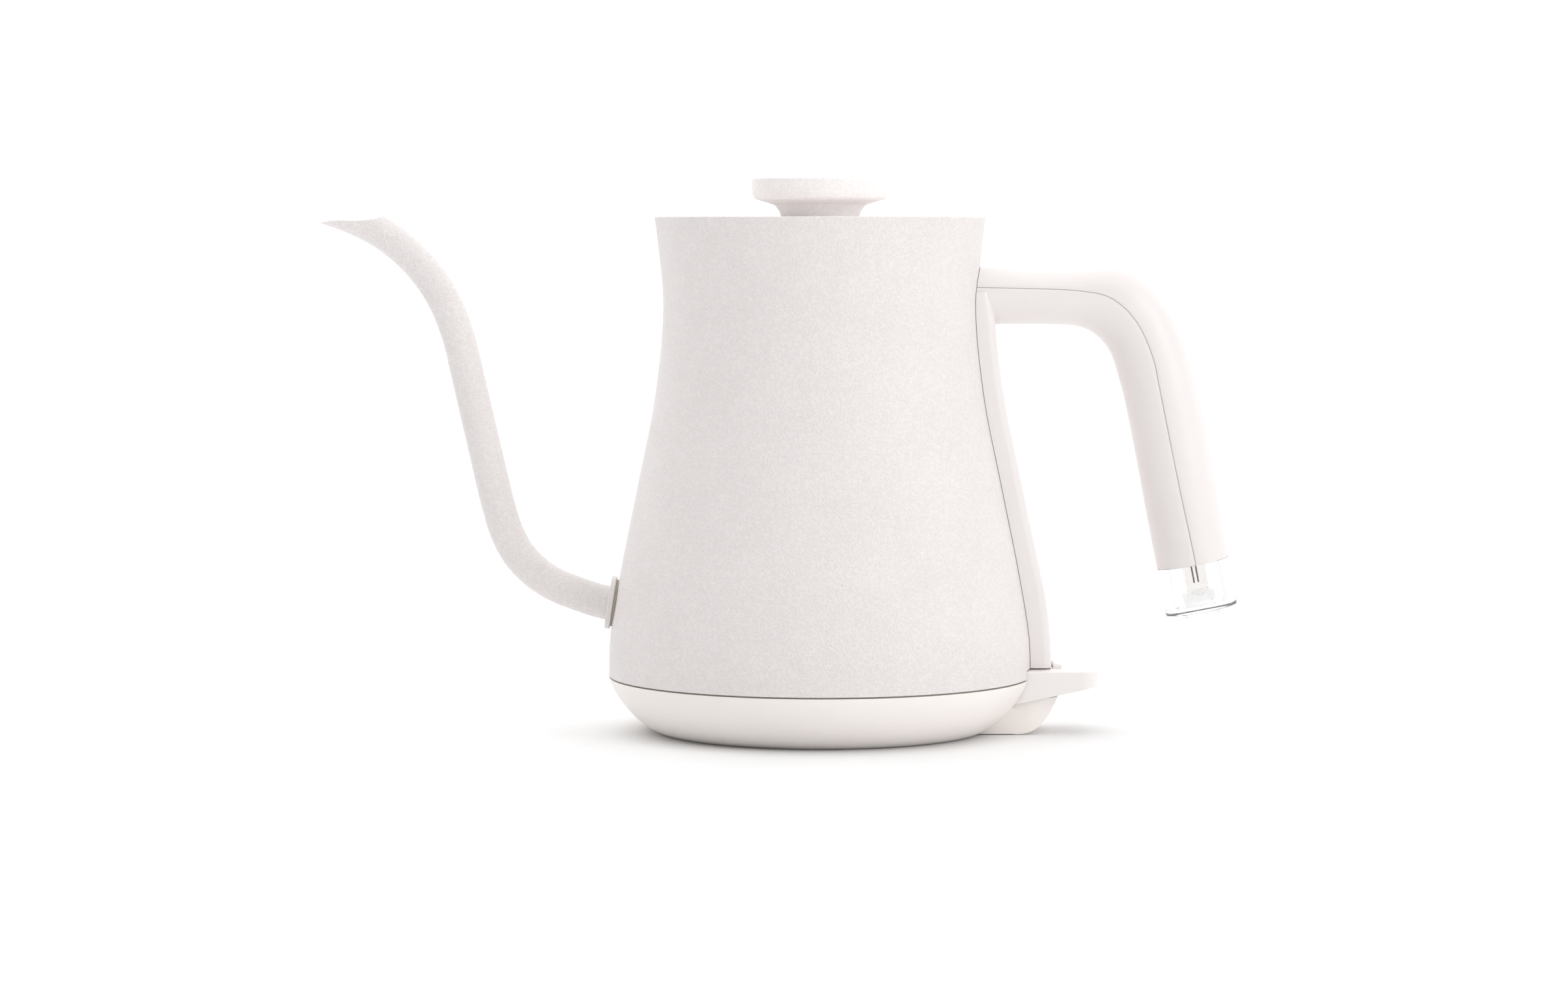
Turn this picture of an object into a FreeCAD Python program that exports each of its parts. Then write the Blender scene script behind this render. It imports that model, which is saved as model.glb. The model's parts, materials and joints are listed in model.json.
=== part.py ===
"""Electric gooseneck kettle: one STEP file per physical piece, in millimetres.

The origin is on the vessel's axis, on the plane that the kettle stands on.
+Z is up, the spout points to -X and the handle to +X.
"""
import FreeCAD, Part
import math
import os

V = FreeCAD.Vector
UP = V(0, 0, 1)
ACROSS = V(0, 1, 0)
FORWARD = V(1, 0, 0)
LOFT_DEGREE = 3

# ---- driving dimensions -------------------------------------------------

# Vessel wall: outer radius against height, from the rim down to the seam.
RIM_Z = 153.4
SEAM_TOP_Z = 16.8
WALL = 0.8
SHELL_OUTLINE = [(49.2, RIM_Z - WALL / 2), (48.3, 146), (46.7, 127), (49.2, 100), (54.5, 73),
                 (59.7, 47), (62.7, 28), (63.1, SEAM_TOP_Z)]
FLOOR_Z = 24.2
FLOOR_THICK = 0.8

# Bowl-shaped cover under the vessel.
SEAM_BOTTOM_Z = 16.3
BOWL_R = 63.1
FOOT_R = 47.0
BOWL_FLATTEN = 1.3
BOWL_ROUND = 1.6
COVER_WALL = 2.0
RECESS_R = 37.5
RECESS_Z = 4.5
RECESS_ROOF = 2.0

# Spout: centreline from inside the wall to past the mouth, and its bore.
SPOUT_LINE = [(-57.0, 36.6), (-66.0, 38.9), (-73.5, 41.3), (-80.5, 44.4), (-87.6, 49.9),
              (-92.2, 56.4), (-95.0, 63.5), (-97.2, 72.0), (-101.2, 89.5), (-105.2, 107.0),
              (-109.4, 122.6), (-115.5, 134.4), (-122.5, 142.5), (-131.2, 149.1),
              (-141.3, 153.9), (-152.0, 157.3)]
SPOUT_R_ROOT = 5.1
SPOUT_R_TIP = 4.68
SPOUT_WALL = 0.7
MOUTH_LINE = [(-154.0, 149.8), (-149.0, 151.4), (-145.5, 152.1), (-139.0, 152.15),
              (-134.3, 152.35), (-130.3, 153.3), (-126.0, 156.0)]
COLLAR_R = 7.95
COLLAR_THICK = 1.6
COLLAR_X = -61.75
COLLAR_Z = 38.2
COLLAR_TILT = 8.8
SPOUT_HOLE_R = 4.3
SPOUT_HOLE_Z = 37.8
STRAINER_HOLE_R = 0.9
STRAINER_PITCH_R = 2.7

# Handle: pairs of points on its outer and inner edge, with its half width there.
HANDLE_STATIONS = [((40.0, 138.6), (40.0, 121.5), 8.3),
                   ((56.0, 138.5), (56.0, 121.5), 8.4),
                   ((69.5, 138.1), (69.0, 121.5), 8.6),
                   ((80.0, 138.2), (76.6, 121.0), 8.9),
                   ((88.6, 138.7), (81.2, 119.1), 9.3),
                   ((94.4, 137.3), (84.5, 116.1), 9.7),
                   ((99.6, 132.4), (86.8, 112.6), 10.0),
                   ((104.7, 125.9), (88.2, 108.5), 10.3),
                   ((108.5, 117.5), (89.2, 104.9), 10.4),
                   ((111.4, 107.7), (90.3, 101.4), 10.5),
                   ((116.1, 86.8), (94.3, 82.0), 10.6),
                   ((119.1, 68.2), (97.7, 64.0), 10.7),
                   ((122.0, 52.4), (100.85, 48.3), 10.75)]
HANDLE_WALL = 2.0
PARTING_LINE = [(38.0, 132.6), (46.4, 132.5), (54.2, 132.35), (65.9, 132.1), (77.6, 131.4),
                (85.4, 129.6), (92.6, 123.5), (98.0, 112.8), (100.6, 101.1), (105.4, 77.7),
                (110.5, 54.3), (112.7, 43.0)]
PARTING_GAP = 0.25
HANDLE_SCREW_X = 56.0
BRACKET_LOW_Z = 129.0

# Spine: the strip down the back of the vessel.
SPINE_HALF = 8.8
SPINE_FOOT_Z = 19.4
SPINE_OUTLINE = [(50.3, 131.2), (51.1, 127.0), (51.8, 122.8), (52.1, 119.0), (52.5, 114.5),
                 (54.9, 98.0), (59.0, 78.5), (63.1, 59.2), (67.2, 39.8), (68.6, 28.0),
                 (68.9, SPINE_FOOT_Z)]
SPINE_WALL = 1.5
SPINE_EDGE_R = 2.6
SPINE_GAP = 0.12

# Lamp at the end of the handle.
LAMP_X = 111.42
LAMP_Z = 50.35
LAMP_LEAN = 11.1
LAMP_R = 10.75
LAMP_LENGTH = 15.1
LAMP_SOCKET_R = 9.2
LAMP_SOCKET_DEPTH = 4.5
BULB_R = 3.35
BULB_GLASS = 0.5

# Steam tube and lamp wires share the spine's channel.
STEAM_Y = -2.9
STEAM_Z = 126.5
STEAM_R = 1.3
STEAM_BEND = 1.5
SKIRT_HOLE_Z = 21.3
WIRE_R = 0.45
WIRE_YS = (3.3, 4.4)

# Switch lever at the back of the base, and the plunger that its arm lifts.
PLUNGER_X = 49.5
PIVOT_X = 58.0
PIVOT_Z = 14.2
PIN_R = 1.25
RUNNING_GAP = 0.05
BEARING_HALF = 11.1
LEVER_HALF = 15.0
LEVER_TIP_X = 82.5
LEVER_TOP_Z = 19.0
LEVER_ROOT_X = 56.0
LEVER_PLATE = 1.8
LEVER_SKIRT = 1.5
NOTCH_HALF = 15.4
NOTCH_FLOOR_Z = 8.3
SCOOP_HALF = 13.0
SCOOP_CORNER_R = 10.5
SCOOP_BACK_X = 72.0
SCOOP_LIP_Z = 10.8
SCOOP_OUTLINE = [(57.0, 0.3), (62.2, 0.9), (65.3, 2.8), (68.5, 6.8), (70.8, 11.0)]

# Lid and knob.
LID_R = 47.3
LID_TOP_Z = 152.4
LID_SHEET = 0.8
SEAT_Z = 149.0
SEAT_R = 42.0
SEAL_GAP = 0.3
SKIRT_R = 40.4
KNOB_R = 20.2
KNOB_TOP_Z = 164.9
KNOB_STEM_R = 11.7


# ---- geometry helpers ---------------------------------------------------

def interpolated(points):
    """A smooth curve in the XZ plane through (x, z) points."""
    curve = Part.BSplineCurve()
    curve.interpolate([V(x, 0, z) for x, z in points])
    return curve


SHELL_CURVE = interpolated(SHELL_OUTLINE)


def shell_radius(height):
    """Outer radius of the vessel wall at a height, found by halving."""
    above = SHELL_CURVE.FirstParameter
    below = SHELL_CURVE.LastParameter
    for _ in range(40):
        middle = (above + below) / 2
        if SHELL_CURVE.value(middle).z > height:
            above = middle
        else:
            below = middle
    return SHELL_CURVE.value(above).x


def polygon(points):
    """Straight edges joining (x, z) points in order."""
    corners = [V(x, 0, z) for x, z in points]
    return [Part.makeLine(a, b) for a, b in zip(corners, corners[1:])]


def face_of(edges):
    return Part.Face(Part.Wire(Part.__sortEdges__(edges)))


def revolved(edges):
    """The solid that closed XZ edges sweep around the vessel's axis.

    Its seam is turned to +Y, clear of the spout, the handle and the lever.
    """
    solid = face_of(edges).revolve(V(0, 0, 0), UP, 360)
    solid.rotate(V(0, 0, 0), UP, 90)
    return solid


def turned(points):
    """The solid that a closed XZ polygon sweeps around the vessel's axis."""
    return revolved(polygon(points + points[:1]))


def slab(edges, low_y, high_y):
    """Closed XZ edges pulled out along Y."""
    face = face_of(edges)
    face.translate(V(0, low_y, 0))
    return face.extrude(V(0, high_y - low_y, 0))


def plate(points, half_width):
    """A closed XZ polygon, as wide as twice half_width, centred on Y = 0."""
    return slab(polygon(points + points[:1]), -half_width, half_width)


def box(low, high):
    size = [b - a for a, b in zip(low, high)]
    return Part.makeBox(*size, V(*low))


def rod(radius, low_z, high_z, x=0.0, y=0.0):
    return Part.makeCylinder(radius, high_z - low_z, V(x, y, low_z))


def ring(outer, inner, low_z, high_z, x=0.0, y=0.0):
    hole = rod(inner, low_z - 1, high_z + 1, x, y)
    return rod(outer, low_z, high_z, x, y).cut(hole)


def rod_along(axis, radius, start, length):
    return Part.makeCylinder(radius, length, V(*start), axis)


def around(count, radius, first=0.0):
    """Evenly spaced (x, y) places on a circle about the axis."""
    angles = [math.radians(first + 360 * n / count) for n in range(count)]
    return [(radius * math.cos(a), radius * math.sin(a)) for a in angles]


def fused(shapes):
    first = shapes[0]
    return first.multiFuse(shapes[1:]).removeSplitter()


def cut_all(shape, tools):
    return shape.cut(Part.makeCompound(tools))


def bent_path(points, bend):
    """Straight runs through 3-D points, joined by tangent arcs."""
    stops = [V(*p) for p in points]
    edges = []
    start = stops[0]
    for before, corner, after in zip(stops, stops[1:], stops[2:]):
        back = (before - corner).normalize()
        ahead = (after - corner).normalize()
        half_turn = (math.pi - back.getAngle(ahead)) / 2
        reach = bend * math.tan(half_turn)
        entry = corner + back * reach
        leave = corner + ahead * reach
        inward = (back + ahead).normalize()
        depth = bend / math.cos(half_turn) - bend
        edges.append(Part.makeLine(start, entry))
        edges.append(Part.Arc(entry, corner + inward * depth, leave).toShape())
        start = leave
    edges.append(Part.makeLine(start, stops[-1]))
    return Part.Wire(edges)


def bent_rod(points, radius, bend):
    """A round rod or wire along a bent path."""
    path = bent_path(points, bend)
    first = V(*points[0])
    heading = (V(*points[1]) - first).normalize()
    section = Part.Wire(Part.makeCircle(radius, first, heading))
    return path.makePipeShell([section], True, False)


def oval(outer, inner, half_width, inset=0.0):
    """A closed oval wire standing across the XZ plane between two points."""
    a = V(outer[0], 0, outer[1])
    b = V(inner[0], 0, inner[1])
    centre = (a + b) * 0.5
    long_half = (a - b) * 0.5
    long_half = long_half * (1 - inset / long_half.Length)
    wide_half = ACROSS * (half_width - inset)
    normal = long_half.cross(wide_half).normalize()
    stretch = FreeCAD.Matrix(long_half.x, wide_half.x, normal.x, centre.x,
                             long_half.y, wide_half.y, normal.y, centre.y,
                             long_half.z, wide_half.z, normal.z, centre.z,
                             0, 0, 0, 1)
    return Part.Wire(Part.makeCircle(1.0).transformGeometry(stretch).Edges)


# ---- shared bodies ------------------------------------------------------

def vessel_filled(grow=0.0):
    """Everything inside the vessel wall's outer face, grown outwards."""
    outline = interpolated([(r + grow, z) for r, z in SHELL_OUTLINE])
    top_r, top_z = SHELL_OUTLINE[0]
    closing = polygon([(BOWL_R + grow, SEAM_TOP_Z), (0, SEAM_TOP_Z), (0, top_z),
                       (top_r + grow, top_z)])
    return revolved([outline.toShape()] + closing)


def bowl_filled(inset=0.0):
    """Everything inside the bowl, down to the plane that it stands on."""
    points = []
    steps = 9
    for n in range(steps + 1):
        rise = n / steps
        bulge = (1 - (1 - rise) ** BOWL_FLATTEN) ** (1 / BOWL_ROUND)
        radius = FOOT_R + (BOWL_R - FOOT_R) * bulge - inset
        points.append((radius, rise * SEAM_BOTTOM_Z + inset * (1 - rise)))
    top = points[-1]
    bottom = points[0]
    closing = polygon([top, (0, top[1]), (0, bottom[1]), bottom])
    return revolved([interpolated(points).toShape()] + closing)


def spout_solid(inset=0.0):
    """The spout as a solid rod with a slight taper, along its centreline."""
    line = interpolated(SPOUT_LINE)
    first = line.FirstParameter
    last = line.LastParameter
    steps = 24
    rings = []
    for n in range(steps + 1):
        share = n / steps
        here = first + (last - first) * share
        radius = SPOUT_R_ROOT + (SPOUT_R_TIP - SPOUT_R_ROOT) * share - inset
        circle = Part.makeCircle(radius, line.value(here), V(*line.tangent(here)[0]))
        rings.append(Part.Wire(circle))
    return Part.makeLoft(rings, True, False, False, LOFT_DEGREE)


def handle_solid(inset=0.0):
    wires = [oval(outer, inner, half, inset) for outer, inner, half in HANDLE_STATIONS]
    return Part.makeLoft(wires, True, False, False, LOFT_DEGREE)


def spine_solid(inset=0.0):
    """The strip down the vessel's back, still overlapping the vessel."""
    inside_x = 40.0
    outline = interpolated([(x - inset, z) for x, z in SPINE_OUTLINE])
    top = (SPINE_OUTLINE[0][0] - inset, SPINE_OUTLINE[0][1])
    foot = (SPINE_OUTLINE[-1][0] - inset, SPINE_FOOT_Z)
    closing = polygon([foot, (inside_x, SPINE_FOOT_Z), (inside_x, top[1]), top])
    half = SPINE_HALF - inset
    strip = slab([outline.toShape()] + closing, -half, half)
    corners = [e for e in strip.Edges
               if e.Length > 90 and abs(abs(e.CenterOfMass.y) - half) < 0.01
               and e.CenterOfMass.x > 52]
    return strip.makeFillet(SPINE_EDGE_R - inset, corners)


def beyond_parting(shift):
    """The space on the handle's outer side of its parting line."""
    curve = interpolated([(x + shift, z + shift) for x, z in PARTING_LINE])
    first = curve.StartPoint
    last = curve.EndPoint
    closing = polygon([(last.x, last.z), (160, last.z), (160, 170), (first.x, 170),
                       (first.x, first.z)])
    return slab([curve.toShape()] + closing, -20, 20)


def at_lamp(shape):
    """Moves a piece made about the Z axis to the end of the handle."""
    shape.rotate(V(0, 0, 0), ACROSS, -LAMP_LEAN)
    shape.translate(V(LAMP_X, 0, LAMP_Z))
    return shape


# ---- vessel -------------------------------------------------------------

def skirt_holes():
    """Two holes through the wall below the vessel's floor, into the spine."""
    wires_y = sum(WIRE_YS) / 2
    tube = rod_along(FORWARD, STEAM_R + 0.3, (58, STEAM_Y, SKIRT_HOLE_Z), 10)
    wires = rod_along(FORWARD, WIRE_R + 0.9, (58, wires_y, SKIRT_HOLE_Z), 10)
    return [tube, wires]


def vessel_shell():
    outer = interpolated(SHELL_OUTLINE)
    inner = interpolated([(r - WALL, z) for r, z in SHELL_OUTLINE])
    rim_r, rim_z = SHELL_OUTLINE[0]
    foot_r = SHELL_OUTLINE[-1][0]
    rim = Part.Arc(V(rim_r, 0, rim_z), V(rim_r - WALL / 2, 0, RIM_Z), V(rim_r - WALL, 0, rim_z))
    foot = polygon([(foot_r, SEAM_TOP_Z), (foot_r - WALL, SEAM_TOP_Z)])
    shell = revolved([outer.toShape(), inner.toShape(), rim.toShape()] + foot)
    notch = box((50, -NOTCH_HALF, 10), (70, NOTCH_HALF, LEVER_TOP_Z + 0.4))
    steam = rod_along(FORWARD, 2.1, (40, STEAM_Y, STEAM_Z), 12)
    spout = rod_along(FORWARD, SPOUT_HOLE_R, (-70, 0, SPOUT_HOLE_Z), 15)
    return cut_all(shell, skirt_holes() + [notch, steam, spout])


def vessel_floor():
    """Pressed disc with its edge turned up against the wall."""
    turn_up = 4.0
    low_r = shell_radius(FLOOR_Z + turn_up) - WALL - 0.05
    top = FLOOR_Z + FLOOR_THICK
    return turned([(0, FLOOR_Z), (low_r, FLOOR_Z), (low_r, FLOOR_Z + turn_up),
                   (low_r - FLOOR_THICK, FLOOR_Z + turn_up), (low_r - FLOOR_THICK, top),
                   (0, top)])


def lid_seat():
    """Inner ledge that the lid's edge rests on, with a lip around its opening."""
    outer = shell_radius(SEAT_Z - 1) - WALL - 0.05
    lip_foot = 140.0
    return turned([(SEAT_R, lip_foot), (SEAT_R + LID_SHEET, lip_foot),
                   (SEAT_R + LID_SHEET, SEAT_Z - 1), (outer, SEAT_Z - 1),
                   (outer, SEAT_Z), (SEAT_R, SEAT_Z)])


# ---- spout --------------------------------------------------------------

def mouth_cut():
    """The space above the spout's level mouth."""
    edge = interpolated(MOUTH_LINE)
    tip_x, tip_z = MOUTH_LINE[0]
    back_x, back_z = MOUTH_LINE[-1]
    closing = polygon([(back_x, back_z), (back_x, 170.0), (-160.0, 170.0), (-160.0, tip_z),
                       (tip_x, tip_z)])
    return slab([edge.toShape()] + closing, -10, 10)


def spout_tube():
    return cut_all(spout_solid(), [spout_solid(SPOUT_WALL), vessel_filled(), mouth_cut()])


def collar_disc(radius, near, far):
    """A disc square to the vessel wall, between two distances from it."""
    disc = Part.makeCylinder(radius, far - near, V(near, 0, 0), FORWARD)
    disc.rotate(V(0, 0, 0), ACROSS, 180 + COLLAR_TILT)
    disc.translate(V(COLLAR_X, 0, COLLAR_Z))
    return disc


def spout_collar():
    disc = collar_disc(COLLAR_R, 0, COLLAR_THICK)
    disc = disc.makeFillet(0.35, [e for e in disc.Edges if len(e.Vertexes) == 1])
    return cut_all(disc, [spout_solid(), vessel_filled()])


def spout_strainer():
    """Perforated disc in the wall's hole, inside the spout's root."""
    disc = rod(SPOUT_HOLE_R - 0.1, 0, 0.5)
    holes = [rod(STRAINER_HOLE_R, -1, 2, x, y) for x, y in [(0, 0)] + around(6, STRAINER_PITCH_R)]
    disc = cut_all(disc, holes)
    disc.rotate(V(0, 0, 0), ACROSS, 90)
    disc.translate(V(0.2 - shell_radius(SPOUT_HOLE_Z), 0, SPOUT_HOLE_Z))
    return disc


def spout_gasket():
    disc = collar_disc(COLLAR_R - 0.9, -3, 0)
    return cut_all(disc, [spout_solid(), vessel_filled()])


# ---- handle, spine and their inner pieces -------------------------------

def handle_with_spine():
    """Both handle shells as one hollow piece, before it is parted."""
    vessel = vessel_filled(SPINE_GAP)
    channel = spine_solid(SPINE_WALL)
    channel.translate(V(0, 0, -0.5))
    arm_room = handle_solid(HANDLE_WALL)
    socket = at_lamp(rod(LAMP_SOCKET_R, -3, LAMP_SOCKET_DEPTH))
    arm = handle_solid().cut(vessel).cut(arm_room).cut(channel).cut(socket)
    doorway = box((44, -5.0, 125.4), (56.5, 5.0, BRACKET_LOW_Z))
    strip = cut_all(spine_solid(), [vessel, channel, doorway]).cut(arm_room)
    boss = rod(2.6, 122.6, BRACKET_LOW_Z - 0.1, HANDLE_SCREW_X)
    hole = rod(1.2, 110, 130, HANDLE_SCREW_X).fuse(rod(2.4, 110, 123.6, HANDLE_SCREW_X))
    return arm.fuse(strip).fuse(boss).cut(hole)


def handle_shells():
    whole = handle_with_spine()
    outer = whole.common(beyond_parting(PARTING_GAP / 2))
    inner = whole.cut(beyond_parting(-PARTING_GAP / 2))
    return outer, inner


def handle_bracket():
    """Strip welded to the vessel, which the handle is screwed to."""
    arm = box((40, -4, BRACKET_LOW_Z), (61, 4, 132))
    pads = box((40, -4.6, BRACKET_LOW_Z), (48.2, 4.6, 133))
    hole = rod(1.02, 128, 133, HANDLE_SCREW_X)
    return cut_all(fused([arm, pads]), [vessel_filled(), hole])


def handle_screw():
    head = rod(2.2, 121.9, 123.5, HANDLE_SCREW_X)
    shank = rod(1.0, 123.5, 133.2, HANDLE_SCREW_X)
    return fused([head, shank])


def lamp_cap():
    """Clear cup with a spigot that fits in the handle and a cradle for the bulb."""
    cup = rod(LAMP_R, -LAMP_LENGTH, -0.15)
    bottom = [e for e in cup.Edges if abs(e.CenterOfMass.z + LAMP_LENGTH) < 0.01
              and len(e.Vertexes) == 1]
    cup = cup.makeFillet(1.0, bottom)
    spigot = rod(LAMP_SOCKET_R - 0.08, -0.5, 4)
    hollow = rod(7.6, -12.6, 5)
    cradle = ring(4.65, 3.7, -12.6, -8.6)
    return at_lamp(cup.fuse(spigot).cut(hollow).fuse(cradle))


def bulb_outline(radius, tip, top):
    """Half section of a round-ended tube, as closed edges."""
    centre_z = tip + radius
    middle = radius * math.sqrt(0.5)
    arc = Part.Arc(V(0, 0, tip), V(middle, 0, centre_z - middle), V(radius, 0, centre_z))
    return [arc.toShape()] + polygon([(radius, centre_z), (radius, top), (0, top), (0, tip)])


def neon_bulb():
    tip = -10.2
    outside = revolved(bulb_outline(BULB_R, tip, 4))
    inside = revolved(bulb_outline(BULB_R - BULB_GLASS, tip + BULB_GLASS, 3))
    return at_lamp(outside.cut(inside))


def lamp_electrodes():
    rods = [rod(0.25, -6.1, 2.9, x) for x in (-0.65, 0.65)]
    return at_lamp(Part.makeCompound(rods))


def lamp_holder():
    plug = rod(7.5, 0.4, 2.9).cut(rod(BULB_R + 0.1, -1, 5))
    sleeve = ring(4.6, BULB_R + 0.1, 2.9, 6)
    return at_lamp(fused([plug, sleeve]))


def lamp_resistor():
    body = Part.makeCylinder(1.1, 6.0, V(0, 0, 6.3))
    return at_lamp(body.makeFillet(0.3, body.Edges[:1]))


def channel_line(offset):
    """Points down the spine's channel, a fixed distance off the vessel wall."""
    heights = [118, 98, 78, 58, 40, 29, SKIRT_HOLE_Z]
    return [(shell_radius(z) + offset, z) for z in heights]


def steam_tube():
    down = [(x, STEAM_Y, z) for x, z in channel_line(1.6)]
    top = (down[0][0] - 0.3, STEAM_Y, STEAM_Z)
    path = [(44.0, STEAM_Y, STEAM_Z), top] + down + [(54.3, STEAM_Y, SKIRT_HOLE_Z)]
    tube = bent_rod(path, STEAM_R, STEAM_BEND)
    return tube.cut(bent_rod(path, STEAM_R - 0.5, STEAM_BEND))


def steam_grommet():
    body = rod_along(FORWARD, 2.05, (45.0, STEAM_Y, STEAM_Z), 1.75)
    flange = rod_along(FORWARD, 3.0, (44.6, STEAM_Y, STEAM_Z), 0.8)
    hole = rod_along(FORWARD, STEAM_R + 0.02, (40, STEAM_Y, STEAM_Z), 12)
    return fused([body, flange]).cut(hole)


def lamp_wires():
    grip = [(51.0, 126.9), (74.0, 127.2), (85.0, 124.0), (94.0, 113.0), (98.5, 98.0),
            (103.5, 76.0), (107.8, 60.0)]
    wires = []
    for y in WIRE_YS:
        down = [(x, y, z) for x, z in reversed(channel_line(1.3))]
        path = [(52.6, y, SKIRT_HOLE_Z)] + down + [(x, y, z) for x, z in grip]
        wires.append(bent_rod(path, WIRE_R, 1.5))
    return Part.makeCompound(wires)


# ---- heater -------------------------------------------------------------

PLATE_LOW_Z = 21.2
POST_PLACES = around(3, 29.0, 60)
SCREW_PLACES = around(3, 18.5, 90)
ELEMENT_R = 38.0
ELEMENT_GAP = 25.0


def heater_plate():
    holes = [rod(0.95, PLATE_LOW_Z - 1, 23.0, x, y) for x, y in SCREW_PLACES]
    return cut_all(rod(50, PLATE_LOW_Z, FLOOR_Z), holes)


def heating_element():
    """Sheathed tube bent into an open ring under the plate."""
    start = Part.Wire(Part.makeCircle(3.0, V(ELEMENT_R, 0, PLATE_LOW_Z - 3.05), ACROSS))
    element = Part.Face(start).revolve(V(0, 0, 0), UP, 360 - 2 * ELEMENT_GAP)
    element.rotate(V(0, 0, 0), UP, ELEMENT_GAP)
    return element


def element_ends():
    turn = math.radians(ELEMENT_GAP)
    x = ELEMENT_R * math.cos(turn)
    y = ELEMENT_R * math.sin(turn)
    return [(x, y), (x, -y)]


def element_terminals():
    return Part.makeCompound([rod(1.1, 12, PLATE_LOW_Z - 6.1, x, y) for x, y in element_ends()])


def power_leads():
    leads = []
    for x, y in element_ends():
        side = math.copysign(1, y)
        inner_y = 7.5 * side
        path = [(x, y, 11.9), (x, y, 8.8), (19.6, inner_y, 8.8), (19.6, inner_y, 10.9)]
        leads.append(bent_rod(path, 0.8, 1.2))
    return Part.makeCompound(leads)


def control_body():
    """Thermostat moulding with three feet against the heater plate."""
    drum = rod(22, 11, 17)
    pads = [rod(7.6, 17, 18.8, x, 0) for x in (-9.5, 9.5)]
    feet = [rod(2.4, 17, PLATE_LOW_Z, x, y) for x, y in SCREW_PLACES]
    holes = [rod(0.95, 10, 22, x, y) for x, y in SCREW_PLACES]
    return cut_all(fused([drum] + pads + feet), holes)


def control_screws():
    screws = []
    for x, y in SCREW_PLACES:
        screws.append(rod(1.7, 9.7, 11, x, y).fuse(rod(0.9, 11, 22.8, x, y)))
    return Part.makeCompound(screws)


def bimetal_discs():
    return Part.makeCompound([rod(7.0, 19.3, 19.7, x, 0) for x in (-9.5, 9.5)])


def thermal_fuse():
    return rod_along(FORWARD, 1.7, (-12, 27.5, 19.4), 11)


def mounting_posts():
    posts = []
    for x, y in POST_PLACES:
        posts.append(rod(2.6, 6.6, PLATE_LOW_Z, x, y).cut(rod(1.25, 5, 12.5, x, y)))
    return Part.makeCompound(posts)


# ---- base ---------------------------------------------------------------

def scoop_filled(inset=0.0):
    """The lower housing behind the bowl, below the lever."""
    back = [(x - inset, z + inset) for x, z in SCOOP_OUTLINE]
    back[-1] = (back[-1][0], SCOOP_LIP_Z + 2 * inset)
    first = back[0]
    last = back[-1]
    closing = polygon([last, (46, last[1]), (46, first[1]), first])
    half = SCOOP_HALF - inset
    side = slab([interpolated(back).toShape()] + closing, -half, half)
    back_x = SCOOP_BACK_X - inset
    plan = box((40, -half, -5), (back_x, half, 20))
    corners = [e for e in plan.Edges if abs(e.CenterOfMass.x - back_x) < 0.01
               and e.BoundBox.ZLength > 5]
    return side.common(plan.makeFillet(SCOOP_CORNER_R - inset, corners))


def base_screw_cone(grow):
    low = RECESS_Z + 0.1 - grow
    return [Part.makeCone(2.6 + grow, 1.2 + grow, 1.4, V(x, y, low)) for x, y in POST_PLACES]


def base_cover():
    """Bowl, foot ring, recess and scoop in one moulding."""
    filled = fused([bowl_filled(), scoop_filled()])
    roof_z = RECESS_Z + RECESS_ROOF
    core = rod(RECESS_R + COVER_WALL, -5, roof_z)
    hollow = bowl_filled(COVER_WALL).cut(core)
    above = rod(BOWL_R - COVER_WALL, SEAM_BOTTOM_Z - 0.5, SEAM_BOTTOM_Z + 2)
    scoop_room = scoop_filled(1.6).cut(rod(48, -5, 20))
    notch = box((46, -NOTCH_HALF, NOTCH_FLOOR_Z), (80, NOTCH_HALF, 20))
    notch = notch.cut(box((46, -SCOOP_HALF, 0), (80, SCOOP_HALF, SCOOP_LIP_Z)))
    recess = rod(RECESS_R, -5, RECESS_Z)
    socket_hole = rod(16.4, 0, 10)
    screw_holes = [rod(1.4, 0, 10, x, y) for x, y in POST_PLACES]
    tools = [hollow, above, scoop_room, notch, recess, socket_hole]
    return cut_all(filled, tools + screw_holes + base_screw_cone(0.12))


def base_seal():
    """Soft ring in the seam between the vessel and the bowl."""
    band = ring(BOWL_R - 0.6, BOWL_R - COVER_WALL, SEAM_BOTTOM_Z, SEAM_TOP_Z)
    gap = box((40, -NOTCH_HALF, 10), (70, NOTCH_HALF, 20))
    return band.cut(gap)


def base_screws():
    screws = []
    for (x, y), head in zip(POST_PLACES, base_screw_cone(0.0)):
        screws.append(head.fuse(rod(1.2, RECESS_Z + 1.4, 12.0, x, y)))
    return Part.makeCompound(screws)


def connector_socket():
    """Round socket for the power base's connector, open downwards."""
    body = rod(16, 4.7, 11)
    groove = ring(12, 8.5, 0, 9)
    return cut_all(body, [rod(4.7, 0, 10), groove])


def centre_contact():
    return ring(4.68, 4.0, 5.2, 10)


def neutral_contact():
    return ring(9.2, 8.52, 5.4, 9)


def earth_contact():
    return ring(11.98, 11.3, 5.4, 9)


# ---- switch -------------------------------------------------------------

def lever_bearing():
    """Cradle whose two ears hold the lever's pin."""
    floor_plate = box((54.0, -BEARING_HALF, 8.4), (60.5, BEARING_HALF, 9.8))
    ears = [box((55.2, y, 9.8), (60.8, y + 2.2, 16.2)) for y in (-BEARING_HALF, BEARING_HALF - 2.2)]
    hole = rod_along(ACROSS, PIN_R + 0.02, (PIVOT_X, -20, PIVOT_Z), 40)
    return fused([floor_plate] + ears).cut(hole)


def lever_pivot_pin():
    return rod_along(ACROSS, PIN_R, (PIVOT_X, -BEARING_HALF, PIVOT_Z), 2 * BEARING_HALF)


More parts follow.
